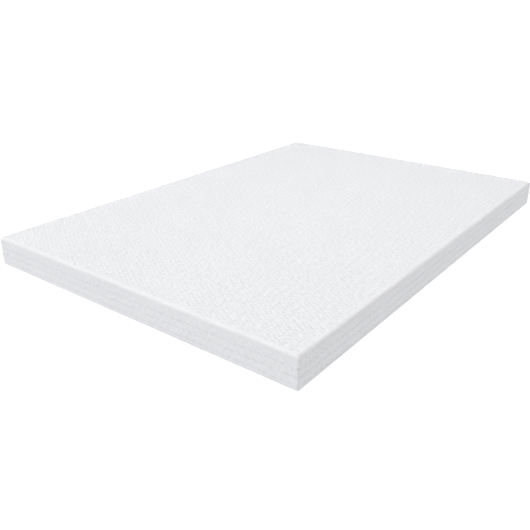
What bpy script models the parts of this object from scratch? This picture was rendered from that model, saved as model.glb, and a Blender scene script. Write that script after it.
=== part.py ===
"""Foam mattress topper in a knitted cover, for a bed of 1.4 by 2 m, lying flat.

The origin is under the middle of the topper, on the surface that it rests on. X runs from side to side,
Y from foot to head and Z up. Everything is in metres.

Two pieces make the topper. The filled body is the foam with its top and bottom panels: a slab with a
low crown, rounded rims and a shallow channel all round its wall. The side strip is the border of the
cover, one band of thick knit that fills that channel. The panels and the strip meet at two seams, which
draw the cloth in.
"""

import math

import bmesh
import bpy

WIDTH = 1.400
LENGTH = 2.000
HEIGHT = 0.120              # from the underside to the middle of the crown
CROWN = 0.003               # how far the middle stands above the rim
CROWN_REACH = 0.260         # the crown rises over this distance from the rim
CORNER_RADIUS = 0.006       # of the four upright corners, seen from above
TOP_RIM = 0.012             # radius of the roll from the top panel down to the upper seam
BOTTOM_RIM = 0.009          # radius of the roll from the underside up to the wall
LOWER_SEAM = 0.010          # height of the seam between bottom panel and side strip
SEAM_TUCK = 0.001           # how far the seams pull the wall in from its middle
SEAM_LIP = 0.0008           # rounding of the cloth's edge where it turns into a seam
STRIP_THICKNESS = 0.0016    # the knit with its wadded back
CLEARANCE = 0.0003          # between the strip and the body

RIM_HEIGHT = HEIGHT - CROWN
UPPER_SEAM = RIM_HEIGHT - TOP_RIM
SMALLEST_CORNER = 0.004     # corner radius where the top panel starts, inside the roll of the rim

CORNER_STEPS = 7            # facets of an upright corner
LONG_STEPS = 12             # facets along a long side
SHORT_STEPS = 8             # facets along a short side
RIM_STEPS = 6               # facets of a rolled rim
WALL_STEPS = 8              # facets of the wall's slight swell, seam to seam
CROWN_STEPS = 6             # facets of the crown, from the rim to its flat middle

BODY_COLOUR = (0.86, 0.87, 0.88, 1.0)
STRIP_COLOUR = (0.74, 0.76, 0.79, 1.0)
KNIT_ROUGHNESS = 0.9


def clear_scene():
    """Removes the objects that the scene starts with."""
    for item in list(bpy.data.objects):
        bpy.data.objects.remove(item, do_unlink=True)


def knit_material(name, colour):
    """A matt white knit."""
    material = bpy.data.materials.new(name)
    material.use_nodes = True
    shader = material.node_tree.nodes["Principled BSDF"]
    shader.inputs["Base Color"].default_value = colour
    shader.inputs["Roughness"].default_value = KNIT_ROUGHNESS
    shader.inputs["Metallic"].default_value = 0.0
    return material


def corner_radius(inset):
    """Radius of an upright corner that far in from the wall: it shrinks with the roll of the rim, and
    grows again under the crown, whose contour lines are rounder."""
    shrunk = CORNER_RADIUS - inset
    grown = SMALLEST_CORNER + 0.6 * (inset - TOP_RIM)
    return max(shrunk, SMALLEST_CORNER, grown)


def outline(inset):
    """Points of the plan, a rectangle with round corners, anticlockwise and that far in from the wall."""
    radius = corner_radius(inset)
    half_width = WIDTH / 2 - inset - radius
    half_length = LENGTH / 2 - inset - radius
    centres = ((1, -1), (1, 1), (-1, 1), (-1, -1))
    side_steps = (LONG_STEPS, SHORT_STEPS, LONG_STEPS, SHORT_STEPS)
    corners = []
    for turn, (side_x, side_y) in enumerate(centres):
        start = (turn - 1) * math.pi / 2
        angles = [start + math.pi / 2 * step / CORNER_STEPS for step in range(CORNER_STEPS + 1)]
        corners.append([
            (side_x * half_width + radius * math.cos(angle), side_y * half_length + radius * math.sin(angle))
            for angle in angles
        ])
    points = []
    for turn, steps in enumerate(side_steps):
        points += corners[turn]
        last_x, last_y = corners[turn][-1]
        next_x, next_y = corners[(turn + 1) % 4][0]
        for step in range(1, steps):
            share = step / steps
            points.append((last_x + (next_x - last_x) * share, last_y + (next_y - last_y) * share))
    return points


def wall_inset(height):
    """How far the strip's face lies in from the wall's widest line: none halfway up, a tuck at each seam."""
    share = (height - LOWER_SEAM) / (UPPER_SEAM - LOWER_SEAM)
    return SEAM_TUCK * (2 * share - 1) ** 2


def wall_heights(low, high):
    """Heights of the rings that shape the wall's swell."""
    return [low + (high - low) * step / WALL_STEPS for step in range(WALL_STEPS + 1)]


def body_profile():
    """(inset, height) of the filled body, from the edge of its flat underside to the flat of the crown."""
    profile = []
    for step in range(RIM_STEPS + 1):
        angle = math.pi / 2 * step / RIM_STEPS
        inset = SEAM_TUCK + BOTTOM_RIM * (1 - math.sin(angle))
        profile.append((inset, BOTTOM_RIM * (1 - math.cos(angle))))
    profile.append((SEAM_TUCK, LOWER_SEAM - SEAM_LIP))
    profile.append((SEAM_TUCK + SEAM_LIP, LOWER_SEAM))
    for height in wall_heights(LOWER_SEAM, UPPER_SEAM):
        profile.append((wall_inset(height) + STRIP_THICKNESS + CLEARANCE, height))
    profile.append((SEAM_TUCK + SEAM_LIP, UPPER_SEAM))
    for step in range(RIM_STEPS + 1):
        angle = math.pi / 2 * step / RIM_STEPS
        inset = SEAM_TUCK + TOP_RIM * (1 - math.cos(angle))
        height = UPPER_SEAM + TOP_RIM * math.sin(angle)
        if step == 0:
            height += SEAM_LIP
        profile.append((inset, height))
    for step in range(1, CROWN_STEPS + 1):
        share = step / CROWN_STEPS
        rise = share * share * (3 - 2 * share)
        profile.append((SEAM_TUCK + TOP_RIM + CROWN_REACH * share, RIM_HEIGHT + CROWN * rise))
    return profile


def strip_profile():
    """(inset, height) round the strip's section, up its outer face and down its inner one."""
    low = LOWER_SEAM + CLEARANCE
    high = UPPER_SEAM - CLEARANCE
    heights = wall_heights(low + SEAM_LIP, high - SEAM_LIP)
    outer = [(wall_inset(height), height) for height in heights]
    inner = [(wall_inset(height) + STRIP_THICKNESS, height) for height in reversed(heights)]
    upper_edge = (wall_inset(high) + STRIP_THICKNESS / 2, high)
    lower_edge = (wall_inset(low) + STRIP_THICKNESS / 2, low)
    return outer + [upper_edge] + inner + [lower_edge]


def loft(name, profile, material, ring):
    """A solid whose plan outline follows the profile. A ring joins the profile's end to its start, and
    otherwise a flat face closes the bottom and the top."""
    mesh = bmesh.new()
    loops = [[mesh.verts.new((x, y, height)) for x, y in outline(inset)] for inset, height in profile]
    count = len(loops[0])
    pairs = list(zip(loops, loops[1:]))
    if ring:
        pairs.append((loops[-1], loops[0]))
    for lower, upper in pairs:
        for index in range(count):
            following = (index + 1) % count
            mesh.faces.new((lower[index], lower[following], upper[following], upper[index]))
    if not ring:
        mesh.faces.new(list(reversed(loops[0])))
        mesh.faces.new(loops[-1])
    bmesh.ops.recalc_face_normals(mesh, faces=mesh.faces)
    data = bpy.data.meshes.new(name)
    mesh.to_mesh(data)
    mesh.free()
    data.materials.append(material)
    data.shade_smooth()
    data.set_sharp_from_angle(angle=math.radians(40))
    solid = bpy.data.objects.new(name, data)
    bpy.context.scene.collection.objects.link(solid)
    return solid


clear_scene()
loft("filled_body", body_profile(), knit_material("panel_knit", BODY_COLOUR), ring=False)
loft("side_strip", strip_profile(), knit_material("strip_knit", STRIP_COLOUR), ring=True)
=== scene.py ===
"""White foam mattress topper in a knitted cover, lying flat: its top panel over the filling, its side
border, its bottom panel, the studio it stands in and the camera.

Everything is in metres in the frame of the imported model: X from side to side, Y along the length, Z up.
"""

import math

import bpy
import numpy as np
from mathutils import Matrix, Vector


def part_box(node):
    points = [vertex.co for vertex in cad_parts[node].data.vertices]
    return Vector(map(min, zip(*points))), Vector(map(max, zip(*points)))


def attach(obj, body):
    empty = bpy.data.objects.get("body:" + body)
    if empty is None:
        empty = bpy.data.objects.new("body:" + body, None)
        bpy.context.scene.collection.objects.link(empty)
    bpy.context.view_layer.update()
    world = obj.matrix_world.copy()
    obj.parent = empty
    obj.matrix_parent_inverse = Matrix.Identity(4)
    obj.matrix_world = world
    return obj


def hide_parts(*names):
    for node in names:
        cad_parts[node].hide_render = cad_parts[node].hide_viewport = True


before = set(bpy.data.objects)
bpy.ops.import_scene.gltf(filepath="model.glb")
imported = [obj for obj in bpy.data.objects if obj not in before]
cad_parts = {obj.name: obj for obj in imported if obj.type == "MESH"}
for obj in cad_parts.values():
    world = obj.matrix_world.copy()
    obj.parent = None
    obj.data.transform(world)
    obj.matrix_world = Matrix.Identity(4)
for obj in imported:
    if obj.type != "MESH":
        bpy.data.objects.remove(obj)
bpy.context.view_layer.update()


# Top panel over the filling
# The real body is a slab of white foam. Its top panel is a knitted polyester jacquard, a double knit whose
# filler yarn stands up in small puffs between tied stitches. The panel is pulled over the rim of the foam
# and sewn to the border just below it, so it lies taut there, with the puffs pressed flat.

_, body_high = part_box("filled_body")
strip_low, strip_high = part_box("side_strip")
half_width, half_length = strip_high.x, strip_high.y
seam_gap = 0.0003           # between the border's solid and the seams
upper_seam = strip_high.z + seam_gap
crown_rise = 0.003          # of the middle above the rim
crown_reach = 0.26          # the crown rises over this distance from the rim
seam_tuck = 0.001           # how far the seams pull the wall in
lip = 0.0003                # rounding of the cloth's edge into the seam
rim_height = body_high.z - crown_rise
top_roll = rim_height - upper_seam
corner_radius = 0.006
sharpest_corner = 0.004     # an upright corner gets no sharper than this on the roll of the rim
seam_depth = 0.004          # how far the panel's edge is turned in behind the seam
filling_foot = 0.008        # the hidden part of the body ends here, just inside the bottom panel

panel_cells = (188, 410)
corner_cells = 4            # finer cells at each end of a side
corner_cell = 0.0016
grid_margin = 0.010         # between the grid of a panel and the start of its roll

tie_step = (0.0328, -0.0196)    # from one tied stitch to the next along its groove
groove_step = (0.0288, 0.0162)  # from one groove to the next
tie_depth = 0.0007
panel_beading = 0.6             # share of a groove that only its tied stitches pull down
depth_spread, depth_patch = 0.3, 0.06       # how much the depth varies, and over what distance
drift_reach, drift_patch = 0.0012, 0.12     # how far the knit strays, and over what distance
plain_rim, taut_rim = 0.005, 0.016          # no puffs this near the wall, and they grow over the second


def smooth_rise(share):
    """Smooth step: nothing at 0, one at 1, level at both ends."""
    share = np.clip(share, 0, 1)
    return share * share * (3 - 2 * share)


def soft_noise(x, y, scale, seed):
    """Smooth noise around 0: a sum of plane waves in seeded directions. Their wavelengths start near the
    scale and halve twice, each octave weaker than the one before."""
    octaves, waves, weaker = 3, 6, 1.6
    random = np.random.default_rng(seed)
    total = np.zeros_like(x)
    for octave in range(octaves):
        for _ in range(waves):
            turn = random.uniform(0, 2 * np.pi)
            phase = random.uniform(0, 2 * np.pi)
            wave = 2 * np.pi / (scale * random.uniform(0.7, 1.4) / 2 ** octave)
            total += np.sin(wave * (x * np.cos(turn) + y * np.sin(turn)) + phase) / waves / weaker ** octave
    return total


def tie_form(along, across, beading):
    """Depth of the knit below the tops of its puffs, from 0 to 1, at a place in steps along and across its
    grooves: a groove at each whole step across is a raised cosine squared, and the beading's share of it is
    pulled down only at the tied stitches, at each whole step along, by another raised cosine squared."""
    groove = (0.5 + 0.5 * np.cos(2 * np.pi * across)) ** 2
    tied = (0.5 + 0.5 * np.cos(2 * np.pi * along)) ** 2
    return groove * (1 - beading + beading * tied)


def panel_ties(x, y):
    """Steps along and across the grooves at a flat place on the top panel, and how deep they are there. The
    steps are the inverse of the matrix of the two steps, after a small seeded drift, because knit is never
    quite straight. The depth varies by a seeded noise and fades to nothing by a smooth step at the rim."""
    drift_x = drift_reach * soft_noise(x, y, drift_patch, seed=3)
    drift_y = drift_reach * soft_noise(x, y, drift_patch, seed=4)
    inverse = np.linalg.inv(np.array([tie_step, groove_step]).T)
    along = inverse[0, 0] * (x + drift_x) + inverse[0, 1] * (y + drift_y)
    across = inverse[1, 0] * (x + drift_x) + inverse[1, 1] * (y + drift_y)
    from_rim = np.minimum(half_width - np.abs(x), half_length - np.abs(y))
    varied = 1 + depth_spread * soft_noise(x, y, depth_patch, seed=5)
    return along, across, varied * smooth_rise((from_rim - plain_rim) / taut_rim)


def panel_relief(x, y):
    """Height of the top panel's knit over its base: how deep the grooves are there, times their form."""
    along, across, depth = panel_ties(x, y)
    return -tie_depth * depth * tie_form(along, across, panel_beading)


def cell_edges(half, count):
    """Grid lines from one side to the other: even steps, and a few finer ones at each end."""
    fine = corner_cell * np.arange(corner_cells)
    rest = np.linspace(-half + corner_cell * corner_cells, half - corner_cell * corner_cells, count + 1)
    return np.concatenate([-half + fine, rest, half - fine[::-1]])


def wrapped_ring(edge_x, edge_y, inset):
    """A ring round the plan, inset in from the wall, with one point for each point on the edge of the
    sharp-cornered grid. The edge is scaled to the ring, and what lies within the radius of a corner is
    wrapped onto its arc."""
    radius = max(corner_radius - inset, sharpest_corner)
    half_x, half_y = half_width - inset, half_length - inset
    x = edge_x * half_x / np.abs(edge_x).max()
    y = edge_y * half_y / np.abs(edge_y).max()
    side_x, side_y = np.sign(x), np.sign(y)
    on_x_side = half_x - np.abs(x) <= half_y - np.abs(y)
    from_corner = np.where(on_x_side, half_y - np.abs(y), half_x - np.abs(x))
    bend = np.pi / 4 * np.clip(1 - from_corner / radius, 0, 1)
    turn = np.where(on_x_side, bend, np.pi / 2 - bend)
    wrapped = from_corner < radius
    ring_x = np.where(wrapped, side_x * (half_x - radius + radius * np.cos(turn)), x)
    ring_y = np.where(wrapped, side_y * (half_y - radius + radius * np.sin(turn)), y)
    return ring_x, ring_y


def add_mesh(name, points, quads, caps, cloth, ties, material):
    """A smooth mesh from arrays. Its UV map is the flat place on the cloth of each corner of each face, in
    metres, and the attribute ties holds the steps along and across the grooves and their depth there."""
    data = bpy.data.meshes.new(name)
    data.from_pydata(points.tolist(), [], [tuple(face) for face in quads.tolist()] + caps)
    data.materials.append(material)
    data.uv_layers.new(name="cloth").data.foreach_set("uv", cloth.astype(np.float32).ravel())
    steps = data.attributes.new("ties", "FLOAT_VECTOR", "CORNER")
    steps.data.foreach_set("vector", np.stack(ties, 1).astype(np.float32).ravel())
    data.shade_smooth()
    piece = bpy.data.objects.new(name, data)
    bpy.context.scene.collection.objects.link(piece)
    return piece


def panel_mesh(grid_inset, grid_cells, surface, profile):
    """Points, faces, last ring and flat cloth places of a panel: a grid over its flat part, and rings from
    the grid's edge along a profile. The surface gives the grid's height from x and y. Each row of the
    profile is a ring's inset, its height and the share of the relief that is added to it."""
    grid_x, grid_y = np.meshgrid(
        cell_edges(half_width - grid_inset, grid_cells[0]),
        cell_edges(half_length - grid_inset, grid_cells[1]),
        indexing="ij",
    )
    index = np.arange(grid_x.size).reshape(grid_x.shape)
    edge = np.concatenate([index[:-1, 0], index[-1, :-1], index[:0:-1, -1], index[0, :0:-1]])
    points = [np.stack([grid_x.ravel(), grid_y.ravel(), surface(grid_x, grid_y).ravel()], 1)]
    cloth = [points[0][:, :2]]
    cells = np.stack([index[:-1, :-1], index[1:, :-1], index[1:, 1:], index[:-1, 1:]], -1)
    quads = [cells.reshape(-1, 4)]
    edge_x, edge_y = cloth[0][edge].T
    ring, start, run = edge, grid_x.size, 0.0
    before = (grid_inset, profile[0][1])
    for inset, height, share in profile:
        x, y = wrapped_ring(edge_x, edge_y, inset)
        run += math.hypot(inset - before[0], height - before[1])
        before = (inset, height)
        flat_x = edge_x * (1 + run / np.abs(edge_x).max())
        flat_y = edge_y * (1 + run / np.abs(edge_y).max())
        points.append(np.stack([x, y, height + share * panel_relief(flat_x, flat_y)], 1))
        cloth.append(np.stack([flat_x, flat_y], 1))
        outer = start + np.arange(len(edge))
        quads.append(np.stack([ring, outer, np.roll(outer, -1), np.roll(ring, -1)], 1))
        ring, start = outer, start + len(edge)
    return np.concatenate(points), np.concatenate(quads), ring, np.concatenate(cloth)


def linear(hex_colour):
    """sRGB hex to linear RGBA."""
    parts = [int(hex_colour[place:place + 2], 16) / 255 for place in (0, 2, 4)]
    return [p / 12.92 if p <= 0.04045 else ((p + 0.055) / 1.055) ** 2.4 for p in parts] + [1.0]


def add_node(tree, kind, settings=(), inputs=(), links=()):
    """A shader node with its settings, its input values and the sockets that feed its inputs."""
    node = tree.nodes.new(kind)
    for name, value in dict(settings).items():
        setattr(node, name, value)
    for name, value in dict(inputs).items():
        node.inputs[name].default_value = value
    for name, source in dict(links).items():
        tree.links.new(source, node.inputs[name])
    return node


def dip(tree, steps, shift):
    """A cosine to the eighth power, half as wide as the mesh's: 1 at whole steps plus the shift, and 0
    halfway between them."""
    turn = add_node(
        tree, "ShaderNodeMath", {"operation": "MULTIPLY_ADD"}, {1: math.pi, 2: math.pi * shift}, {0: steps}
    ).outputs[0]
    wave = add_node(tree, "ShaderNodeMath", {"operation": "COSINE"}, links={0: turn}).outputs[0]
    square = add_node(tree, "ShaderNodeMath", {"operation": "MULTIPLY"}, links={0: wave, 1: wave}).outputs[0]
    return add_node(tree, "ShaderNodeMath", {"operation": "POWER"}, {1: 4.0}, {0: square}).outputs[0]


def tied_groove(tree, along, across, beading, shift):
    """A groove at whole steps across plus the shift, with the beading's share of it pulled down only at the
    tied stitches."""
    tied = add_node(
        tree, "ShaderNodeMath", {"operation": "MULTIPLY_ADD"}, {1: beading, 2: 1 - beading},
        {0: dip(tree, along, shift)},
    ).outputs[0]
    groove = dip(tree, across, shift)
    return add_node(tree, "ShaderNodeMath", {"operation": "MULTIPLY"}, links={0: tied, 1: groove}).outputs[0]


def knit_material(
    name, colour, shade, wale, course, stitch_depth, beading, tie_loft, between, tuft_share, sheen
):
    """Knitted polyester: loops stand in columns, the wales, and each column is a row of V shapes, a sine
    along the course that lags with the distance from the middle of its wale. The grooves and tied stitches
    repeat those of the mesh and deepen them by the tie loft, and others lie halfway, as deep as the share
    called between. A noise makes uneven tufts of the filler yarn, which show most, and the tuft share says
    how uneven. The colour is mixed toward the shade colour where the knit is deep, a painted shade in the
    hollows of the grooves, tied stitches and tufts, and also in patches that are darker at random.
    Heights are in metres."""
    lag = 1.3                           # in courses, for each wale of distance from its middle
    tufts_per_step = (5.4, 3.1, 0.0)    # so that a tuft is about 7 by 11 mm on the top panel
    patches_per_metre = 90.0            # so that a patch is about 11 mm across
    # The grooves' share of the shade colour is painted shade in the knit's hollows; the patches' share is
    # random tone.
    patch_gain, patch_start, groove_shade = 1.2, -0.2, 0.6  # how far patches and grooves take the shade

    material = bpy.data.materials.new(name)
    material.use_nodes = True
    tree = material.node_tree
    shader = tree.nodes["Principled BSDF"]
    place = add_node(tree, "ShaderNodeUVMap", {"uv_map": "cloth"}).outputs["UV"]
    split = add_node(tree, "ShaderNodeSeparateXYZ", links={0: place})
    wales = add_node(tree, "ShaderNodeMath", {"operation": "DIVIDE"}, {1: wale}, {0: split.outputs["X"]})
    within = add_node(tree, "ShaderNodeMath", {"operation": "PINGPONG"}, {1: 0.5}, {0: wales.outputs[0]})
    courses = add_node(tree, "ShaderNodeMath", {"operation": "DIVIDE"}, {1: course}, {0: split.outputs["Y"]})
    lean = add_node(
        tree, "ShaderNodeMath", {"operation": "MULTIPLY_ADD"}, {1: lag},
        {0: within.outputs[0], 2: courses.outputs[0]},
    )
    turn = add_node(
        tree, "ShaderNodeMath", {"operation": "MULTIPLY"}, {1: 2 * math.pi}, {0: lean.outputs[0]}
    )
    loops = add_node(tree, "ShaderNodeMath", {"operation": "SINE"}, links={0: turn.outputs[0]})

    steps = add_node(tree, "ShaderNodeAttribute", {"attribute_name": "ties"}).outputs["Vector"]
    step = add_node(tree, "ShaderNodeSeparateXYZ", links={0: steps})
    along, across = step.outputs["X"], step.outputs["Y"]
    grooves = tied_groove(tree, along, across, beading, 0.0)
    grooves_between = tied_groove(tree, along, across, beading, 0.5)
    pulled = add_node(
        tree, "ShaderNodeMath", {"operation": "MULTIPLY_ADD"}, {1: between}, {0: grooves_between, 2: grooves}
    )
    tuft_place = add_node(
        tree, "ShaderNodeVectorMath", {"operation": "MULTIPLY"}, {1: tufts_per_step}, {0: steps}
    )
    tufts = add_node(
        tree, "ShaderNodeTexNoise", {}, {"Scale": 1.0, "Detail": 0.0},
        {"Vector": tuft_place.outputs["Vector"]},
    )
    uneven = add_node(
        tree, "ShaderNodeMath", {"operation": "MULTIPLY_ADD"}, {1: -tuft_share, 2: 0.5 * tuft_share},
        {0: tufts.outputs["Fac"]},
    )
    ragged = add_node(
        tree, "ShaderNodeMath", {"operation": "ADD"}, links={0: pulled.outputs[0], 1: uneven.outputs[0]}
    )
    depth = add_node(
        tree, "ShaderNodeMath", {"operation": "MULTIPLY"}, links={0: ragged.outputs[0], 1: step.outputs["Z"]}
    )
    sunk = add_node(tree, "ShaderNodeMath", {"operation": "MULTIPLY"}, {1: -tie_loft}, {0: depth.outputs[0]})
    height = add_node(
        tree, "ShaderNodeMath", {"operation": "MULTIPLY_ADD"}, {1: stitch_depth},
        {0: loops.outputs[0], 2: sunk.outputs[0]},
    )
    bump = add_node(
        tree, "ShaderNodeBump", {}, {"Strength": 1.0, "Distance": 1.0}, {"Height": height.outputs[0]}
    )
    tree.links.new(bump.outputs["Normal"], shader.inputs["Normal"])

    patches = add_node(
        tree, "ShaderNodeTexNoise", {}, {"Scale": patches_per_metre, "Detail": 3.0, "Roughness": 0.7},
        {"Vector": place},
    )
    speckle = add_node(
        tree, "ShaderNodeMath", {"operation": "MULTIPLY_ADD"}, {1: patch_gain, 2: patch_start},
        {0: patches.outputs["Fac"]},
    )
    # Painted shade: the deeper the knit, the more of the shade colour, plus darker patches at random.
    hollow_shade_and_patches = add_node(
        tree, "ShaderNodeMath", {"operation": "MULTIPLY_ADD", "use_clamp": True}, {1: groove_shade},
        {0: depth.outputs[0], 2: speckle.outputs[0]},
    )
    tint = add_node(
        tree, "ShaderNodeMix", {"data_type": "RGBA"}, {6: linear(colour), 7: linear(shade)},
        {0: hollow_shade_and_patches.outputs[0]},
    )
    tree.links.new(tint.outputs[2], shader.inputs["Base Color"])
    shader.inputs["Roughness"].default_value = 0.92
    shader.inputs["Specular IOR Level"].default_value = 0.25
    shader.inputs["Sheen Weight"].default_value = sheen
    shader.inputs["Sheen Roughness"].default_value = 0.6
    return material


def crowned_top(x, y):
    """The rim's height, plus the crown, which is the product of a smooth step from each rim, plus the
    knit's relief."""
    rim_x, rim_y = half_width - seam_tuck - top_roll, half_length - seam_tuck - top_roll
    crown = smooth_rise((rim_x - np.abs(x)) / crown_reach) * smooth_rise((rim_y - np.abs(y)) / crown_reach)
    return rim_height + crown_rise * crown + panel_relief(x, y)


def rolled_rim(seam, radius, side, steps):
    """Rows of a profile round a panel's roll, from its flat part to just short of the seam: a quarter circle
    about a line level with the seam. The side is 1 for the top panel and -1 for the bottom one. The cloth's
    edge is rounded into the seam."""
    rows = []
    for step in range(1, steps):
        lean = math.pi / 2 * step / steps
        inset = seam_tuck + radius * (1 - math.sin(lean))
        rows.append((inset, seam + side * radius * math.cos(lean), 0.0))
    rows.append((seam_tuck, seam + side * lip, 0.0))
    rows.append((seam_tuck + lip, seam, 0.0))
    return rows


roll_start = seam_tuck + top_roll
grid_inset = roll_start + grid_margin
top_profile = [(roll_start + grid_margin / 2, rim_height, 1.0), (roll_start, rim_height, 1.0)]
top_profile += rolled_rim(upper_seam, top_roll, side=1, steps=8)
top_profile.append((seam_tuck + seam_depth, upper_seam, 0.0))
top_profile.append((seam_tuck + seam_depth, filling_foot, 0.0))
top_points, top_quads, foot_ring, top_cloth = panel_mesh(grid_inset, panel_cells, crowned_top, top_profile)
foot_ring = foot_ring[::-1]
top_corners = top_cloth[np.concatenate([top_quads.ravel(), foot_ring])]

# Polyester jacquard, weft-knitted from bleached yarn: a matt bright white with fine uneven specks of light
# and shade, and a faint sheen of loose fibres. Real stitches are about 1 mm wide, too fine to show in the
# render, so the wales are drawn 3 mm apart and the courses 2.4 mm.
# Its grooves, tied stitches and low tufts are painted a little darker, as shade.
top_knit = knit_material(
    "knitted polyester jacquard, top panel", colour="F9F8FA", shade="E7E9EC", wale=0.0030, course=0.0024,
    stitch_depth=0.0002, beading=panel_beading, tie_loft=0.0010, between=0.8, tuft_share=3.3, sheen=0.15,
)
top_panel = add_mesh(
    "filled_top_panel", top_points, top_quads, [tuple(foot_ring.tolist())], top_corners,
    panel_ties(*top_corners.T), top_knit,
)
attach(top_panel, "root")
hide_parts("filled_body")


# Side border
# The real border is one band of the same knit with thin wadding, sewn between the panels and joined end to
# end in the middle of the head end. Its filler yarn stands up in rows of small puffs that run along it.

border_low, border_high = strip_low.z, strip_high.z
border_thickness = 0.0016
behind_border = 0.0010      # added to the thickness, so that the puffs' grooves don't reach the back
puff_pitch = 0.0275
row_pitch = 0.0268
first_valley = 0.0222       # height of the lowest groove
border_depth = 0.0011
border_beading = 0.6
border_spread, border_patch = 0.5, 0.05     # how much the depth varies, and over what distance
noise_ring = 0.9            # radius of the circle that this noise is read on, so that it closes
puff_middle = 0.4           # share of the relief that stands out of the band's even face
by_seam = 0.012             # the puffs grow over this distance from a seam
around_cell = 0.0046
border_cell = 0.0046
into_seam = 0.0002          # how far the band's edge reaches into the seam gap
first_row = 0.0025          # from the edge to the first even row of points
back_rows = 5

straight_x, straight_y = half_width - corner_radius, half_length - corner_radius
around_length = 4 * (straight_x + straight_y) + 2 * math.pi * corner_radius
puff_pitch = around_length / round(around_length / puff_pitch)
joint_run = 2 * straight_y + math.pi / 2 * corner_radius + straight_x


def around(run, inset):
    """Place and outward direction at a distance round a rectangle with round corners, inset in from the
    wall: a straight side and a quarter circle by turns, each a function of the distance from its start."""
    place_x, place_y, out_x, out_y = (np.zeros_like(run) for _ in range(4))
    arc = math.pi / 2 * corner_radius
    radius = corner_radius - inset
    half = np.array([straight_x, straight_y])
    start = 0.0
    for quarter in range(4):
        angle = quarter * math.pi / 2
        side_out = np.array([math.cos(angle), math.sin(angle)])
        side_along = np.array([-side_out[1], side_out[0]])
        first, last = (side_out - side_along) * half, (side_out + side_along) * half
        side = 2 * abs(side_along @ half)
        on_side = (run >= start) & (run < start + side)
        on_arc = (run >= start + side) & (run < start + side + arc)
        swing = angle + (run - start - side) / corner_radius
        swing_x, swing_y = np.cos(swing), np.sin(swing)
        along = run - start
        place_x += on_side * (first[0] + side_out[0] * radius + side_along[0] * along)
        place_y += on_side * (first[1] + side_out[1] * radius + side_along[1] * along)
        place_x += on_arc * (last[0] + radius * swing_x)
        place_y += on_arc * (last[1] + radius * swing_y)
        out_x += on_side * side_out[0] + on_arc * swing_x
        out_y += on_side * side_out[1] + on_arc * swing_y
        start += side + arc
    return place_x, place_y, out_x, out_y


def border_ties(run, height):
    """Steps along and across the grooves between the border's rows of puffs, and how deep they are, at a
    distance from the joint and a height. The tied stitches of each groove lie half a step along from those
    of the one below. The depth varies by a seeded noise on a circle, and fades by a smooth step at the
    seams."""
    across = (height - first_valley) / row_pitch
    along = run / puff_pitch + 0.5 * across
    turn = 2 * np.pi * run / around_length
    ring_x, ring_y = noise_ring * np.cos(turn), noise_ring * np.sin(turn)
    varied = 1 + border_spread * soft_noise(ring_x, ring_y + height, border_patch, seed=6)
    fade = smooth_rise(np.minimum(height - border_low, border_high - height) / by_seam)
    return along, across, fade * varied


def border_inset(height):
    """How far the border's face lies in from its widest line, halfway up: a parabola, nothing there and the
    tuck at each seam."""
    share = (height - border_low) / (border_high - border_low)
    return seam_tuck * (2 * share - 1) ** 2


runs = np.linspace(0, around_length, round(around_length / around_cell), endpoint=False)
places = (runs + joint_run) % around_length
even_rows = round((border_high - border_low) / border_cell)
face_heights = np.concatenate([
    [border_low - into_seam, border_low + lip],
    np.linspace(border_low + first_row, border_high - first_row, even_rows),
    [border_high - lip, border_high + into_seam],
])
edge_round = np.concatenate([[lip, 0.0], np.zeros(even_rows), [0.0, lip]])
back_heights = np.linspace(border_high, border_low, back_rows)
rows = []
for height, rounded in zip(face_heights, edge_round):
    x, y, out_x, out_y = around(places, border_inset(height))
    along, across, depth = border_ties(runs, np.full_like(runs, height))
    proud = border_depth * depth * (puff_middle - tie_form(along, across, border_beading)) - rounded
    rows.append(np.stack([x + proud * out_x, y + proud * out_y, np.full_like(x, height)], 1))
for height in back_heights:
    x, y, out_x, out_y = around(places, border_inset(height) + border_thickness + behind_border)
    rows.append(np.stack([x, y, np.full_like(x, height)], 1))

index = np.arange(len(rows) * len(runs)).reshape(len(rows), len(runs))
above = np.roll(index, -1, axis=0)
border_quads = np.stack([index, np.roll(index, -1, axis=1), np.roll(above, -1, axis=1), above], -1)
all_heights = np.concatenate([face_heights, back_heights])
height_here, run_here = np.meshgrid(all_heights, runs, indexing="ij")
height_above, run_next = np.meshgrid(
    np.roll(all_heights, -1), np.append(runs[1:], around_length), indexing="ij"
)
corner_runs = np.stack([run_here, run_next, run_next, run_here], -1)
corner_heights = np.stack([height_here, height_here, height_above, height_above], -1)
border_corners = np.stack([corner_runs.ravel(), corner_heights.ravel()], 1)

# The same polyester jacquard, sewn over wadding: a matt, slightly cooler white whose rows of tufts show as
# faint broken lines along the band. Its stitches are drawn as coarse as the top panel's.
# Its grooves between the rows of puffs are painted a little darker, as shade.
border_knit = knit_material(
    "knitted polyester jacquard, border", colour="F6F6F8", shade="E3E5E9", wale=0.0030, course=0.0024,
    stitch_depth=0.0002, beading=border_beading, tie_loft=0.0009, between=0.2, tuft_share=1.7, sheen=0.15,
)
border = add_mesh(
    "side_border", np.concatenate(rows), border_quads.reshape(-1, 4), [], border_corners,
    border_ties(*border_corners.T), border_knit,
)
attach(border, "root")
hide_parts("side_strip")


# Bottom panel
# The real bottom panel is a plain warp-knitted polyester, thinner than the border. It is pulled over the
# lower rim of the foam, sewn to the border there, and lies flat under the weight of the filling.

bottom_thickness = 0.0012
lower_seam = strip_low.z - seam_gap
bottom_roll = lower_seam
bottom_cells = (40, 56)
bottom_roll_start = seam_tuck + bottom_roll


def flat_foot(x, y):
    """The underside lies flat on the floor, at height 0."""
    return np.zeros_like(x)


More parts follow.
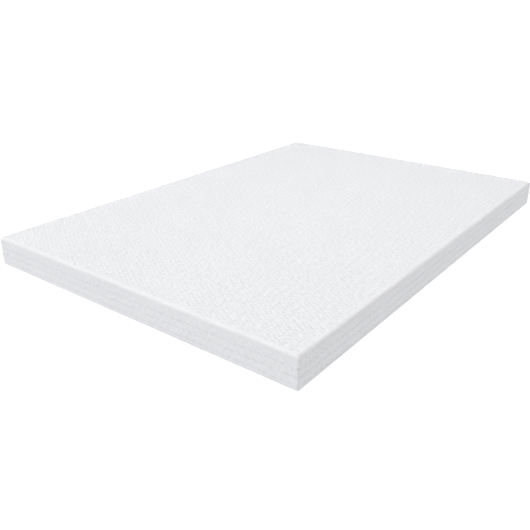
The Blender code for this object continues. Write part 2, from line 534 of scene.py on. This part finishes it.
bottom_profile = [(bottom_roll_start + grid_margin / 2, 0.0, 0.0), (bottom_roll_start, 0.0, 0.0)]
bottom_profile += rolled_rim(lower_seam, bottom_roll, side=-1, steps=7)
outer_points, outer_quads, lip_ring, bottom_cloth = panel_mesh(
    bottom_roll_start + grid_margin, bottom_cells, flat_foot, bottom_profile
)
inner_points = outer_points.copy()
inner_points[:, 2] = np.maximum(outer_points[:, 2], bottom_thickness)
on_roll = outer_points[:, 2] > 0
inner_points[:, :2] *= 1 - on_roll[:, None] * bottom_thickness / np.array([half_width, half_length])
count = len(outer_points)
edge_quads = np.stack([lip_ring, np.roll(lip_ring, -1), np.roll(lip_ring, -1) + count, lip_ring + count], 1)
bottom_quads = np.concatenate([outer_quads[:, ::-1], outer_quads + count, edge_quads])
bottom_corners = bottom_cloth[bottom_quads.ravel() % count]

# Warp-knitted polyester, plain and smooth: an even, slightly greyer white. Its stitches, about 0.8 mm in the
# real cloth, are drawn 2.4 mm wide so that they show.
plain_knit = knit_material(
    "warp-knitted polyester, bottom panel", colour="ECEDEF", shade="E4E5E8", wale=0.0024, course=0.0020,
    stitch_depth=0.0001, beading=0.0, tie_loft=0.0, between=0.0, tuft_share=0.0, sheen=0.1,
)
bottom_panel = add_mesh(
    "bottom_panel", np.concatenate([outer_points, inner_points]), bottom_quads, [], bottom_corners,
    np.zeros((3, len(bottom_corners))), plain_knit,
)
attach(bottom_panel, "root")
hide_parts("filled_body")


# Studio
# A seamless white paper floor, lit from below as on a light table, a large soft lamp overhead, a larger one
# high up beyond the foot end, a weak one on the right, and a pale room that is brightest near the horizon.

floor_reach = 60.0
floor_corners = [(x * floor_reach, y * floor_reach, 0) for x, y in ((-1, -1), (1, -1), (1, 1), (-1, 1))]
floor_data = bpy.data.meshes.new("paper_floor")
floor_data.from_pydata(floor_corners, [], [(0, 1, 2, 3)])

# Matt calendered paper, lit through from below: white everywhere, with no gloss and hardly a shadow.
paper = bpy.data.materials.new("white seamless paper")
paper.use_nodes = True
paper_shader = paper.node_tree.nodes["Principled BSDF"]
paper_shader.inputs["Base Color"].default_value = linear("8B8B8B")
paper_shader.inputs["Roughness"].default_value = 1.0
paper_shader.inputs["Specular IOR Level"].default_value = 0.0
paper_shader.inputs["Emission Color"].default_value = linear("FFFFFF")
paper_shader.inputs["Emission Strength"].default_value = 1.0
floor_data.materials.append(paper)
floor = bpy.data.objects.new("paper_floor", floor_data)
bpy.context.scene.collection.objects.link(floor)


def soft_lamp(name, place, size, power):
    """A square lamp at a place, aimed at the middle of the topper. Its power is in watts."""
    data = bpy.data.lights.new(name, "AREA")
    data.shape = "SQUARE"
    data.size = size
    data.energy = power
    lamp = bpy.data.objects.new(name, data)
    lamp.location = place
    lamp.rotation_euler = (-Vector(place)).to_track_quat("-Z", "Y").to_euler()
    bpy.context.scene.collection.objects.link(lamp)


soft_lamp("overhead_lamp", (0.0, 0.8, 7.0), size=4.5, power=270.0)
soft_lamp("front_left_lamp", (-3.5, -6.06, 12.12), size=6.0, power=1090.0)
soft_lamp("right_lamp", (5.9, 0.9, 3.5), size=3.0, power=40.0)

room = bpy.data.worlds.new("pale_room")
room.use_nodes = True
direction = add_node(room.node_tree, "ShaderNodeTexCoord").outputs["Generated"]
up = add_node(room.node_tree, "ShaderNodeSeparateXYZ", links={0: direction}).outputs["Z"]
brightness = add_node(
    room.node_tree, "ShaderNodeMapRange", {"interpolation_type": "SMOOTHSTEP"},
    {"From Min": 0.02, "From Max": 0.30, "To Min": 0.6, "To Max": 0.12}, {"Value": up},
)
background = room.node_tree.nodes["Background"]
background.inputs["Color"].default_value = linear("FFFFFF")
room.node_tree.links.new(brightness.outputs["Result"], background.inputs["Strength"])
bpy.context.scene.world = room
bpy.context.scene.view_settings.view_transform = "Standard"


# Camera
# A 43 mm lens on a 36 mm sensor, about 2.5 m from its aim at the photo's angle: above the near corner, with
# the foot edge to its left.

image_width = 530
focal_pixels = 633.4
azimuth, elevation = math.radians(37.44), math.radians(24.17)
aim = np.array([0.1141, -0.3814, 0.0])
distance = 2.477
back = np.array([
    math.sin(azimuth) * math.cos(elevation),
    -math.cos(azimuth) * math.cos(elevation),
    math.sin(elevation),
])
camera_data = bpy.data.cameras.new("camera")
camera_data.sensor_width = 36.0
camera_data.lens = focal_pixels / image_width * camera_data.sensor_width
camera = bpy.data.objects.new("camera", camera_data)
camera.location = aim + distance * back
camera.rotation_euler = Vector(-back).to_track_quat("-Z", "Y").to_euler()
bpy.context.scene.collection.objects.link(camera)
bpy.context.scene.camera = camera

bpy.context.view_layer.update()
